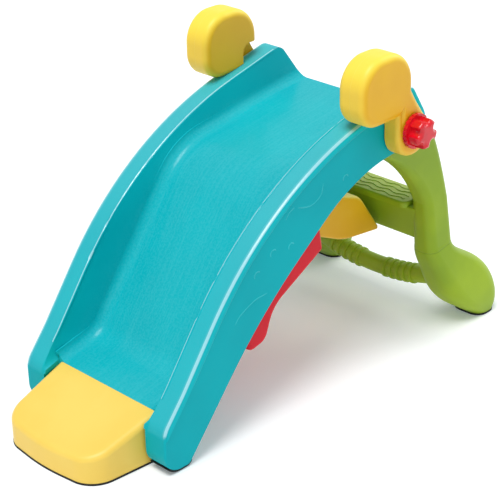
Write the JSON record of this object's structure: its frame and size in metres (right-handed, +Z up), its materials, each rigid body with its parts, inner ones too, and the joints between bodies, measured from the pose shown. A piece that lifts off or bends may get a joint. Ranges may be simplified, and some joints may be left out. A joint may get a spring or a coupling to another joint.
{
  "type": "toddler slide",
  "caption": "Toddler slide with a curved high-railed chute, soft landing pad, splayed stepped legs, ringed hand bar, swinging grab handles and clamp knobs.",
  "frame": {"origin": "on the floor under the middle of the overall length, in the middle plane", "axes": "+X runs from the landing pad back to the legs, +Y is to the left of someone who stands at the landing pad and looks up the slide, +Z is up"},
  "size_m": [1.0693, 0.5532, 0.668],
  "materials": {
    "chute_teal": "satin moulded polyethylene",
    "yellow": "satin moulded polyethylene",
    "green": "satin moulded polyethylene",
    "red": "glossy moulded plastic",
    "grip_rubber": "matt rubber",
    "zinc_steel": "zinc plated",
    "brass": "turned",
    "nylon": "natural nylon"
  },
  "bodies": {
    "slide": {"slide_chute": "chute_teal", "landing_pad": "yellow", "landing_pad_grip": "grip_rubber", "landing_pad_screws": "zinc_steel", "rail_end_grips": "grip_rubber", "leg_frame": "green", "leg_foot_grips": "grip_rubber", "grip_bar": "green", "under_seat": "red", "under_seat_screws": "zinc_steel", "front_brace": "yellow", "front_brace_screws": "zinc_steel", "pivot_bolt_left": "zinc_steel", "leg_bush_left": "nylon", "pivot_bolt_right": "zinc_steel", "leg_bush_right": "nylon"},
    "handle_left": {"handle_left": "yellow"},
    "handle_right": {"handle_right": "yellow"},
    "washer_left": {"washer_left": "nylon"},
    "washer_right": {"washer_right": "nylon"},
    "knob_left": {"knob_left": "red", "knob_insert_left": "brass"},
    "knob_right": {"knob_right": "red", "knob_insert_right": "brass"}
  },
  "joints": [
    {"name": "handle_left_swing", "type": "hinge", "parent": "slide", "child": "handle_left", "pos_m": [0.23, 0.2198, 0.501], "axis": [0, 1, 0], "range_deg": [0, 50]},
    {"name": "washer_left_travel", "type": "slide", "parent": "slide", "child": "washer_left", "axis": [0, 1, 0], "range_m": [0, 0.0095]},
    {"name": "knob_left_turn", "type": "hinge", "parent": "washer_left", "child": "knob_left", "pos_m": [0.23, 0.259, 0.501], "axis": [0, 1, 0], "range_deg": [0, 1080]},
    {"name": "handle_right_swing", "type": "hinge", "parent": "slide", "child": "handle_right", "pos_m": [0.23, -0.2198, 0.501], "axis": [0, 1, 0], "range_deg": [0, 50]},
    {"name": "washer_right_travel", "type": "slide", "parent": "slide", "child": "washer_right", "axis": [0, -1, 0], "range_m": [0, 0.0095]},
    {"name": "knob_right_turn", "type": "hinge", "parent": "washer_right", "child": "knob_right", "pos_m": [0.23, -0.259, 0.501], "axis": [0, -1, 0], "range_deg": [0, 1080]}
  ],
  "couplings": [
    {"joint": "washer_left_travel", "follows": "knob_left_turn", "m_per_rad": 0.00047746},
    {"joint": "washer_right_travel", "follows": "knob_right_turn", "m_per_rad": 0.00047746}
  ]
}
